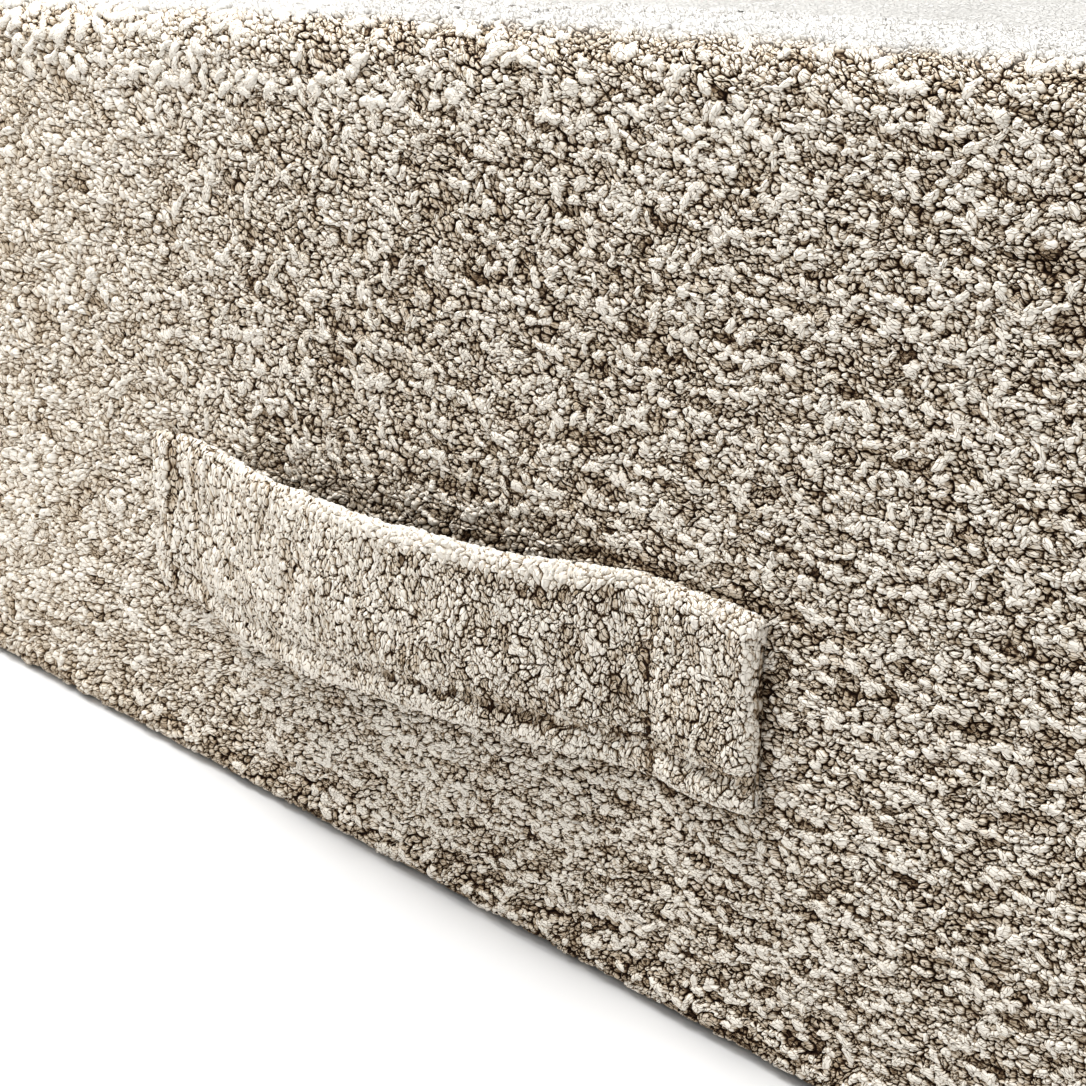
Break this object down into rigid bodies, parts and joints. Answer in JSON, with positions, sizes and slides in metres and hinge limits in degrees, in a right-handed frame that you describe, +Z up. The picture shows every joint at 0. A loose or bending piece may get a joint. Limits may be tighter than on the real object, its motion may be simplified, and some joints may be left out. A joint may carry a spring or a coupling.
{
  "type": "jumping cushion",
  "caption": "Square foam jumping cushion in a thick boucle cover, with a soft carry handle sewn flat onto one side face.",
  "frame": {"origin": "middle of the flat base, on the floor, under the centre of the foam block", "axes": "+Z up, -Y out of the face that carries the handle, +X along that face to the right as it is looked at"},
  "size_m": [0.8, 0.8183, 0.26],
  "materials": {
    "boucle_cover": "thick looped boucle, beige with brown shade between the loops",
    "boucle_strap": "the same boucle, folded and turned a quarter round"
  },
  "bodies": {
    "root": {"cushion": "boucle_cover", "handle": "boucle_strap"}
  },
  "joints": []
}
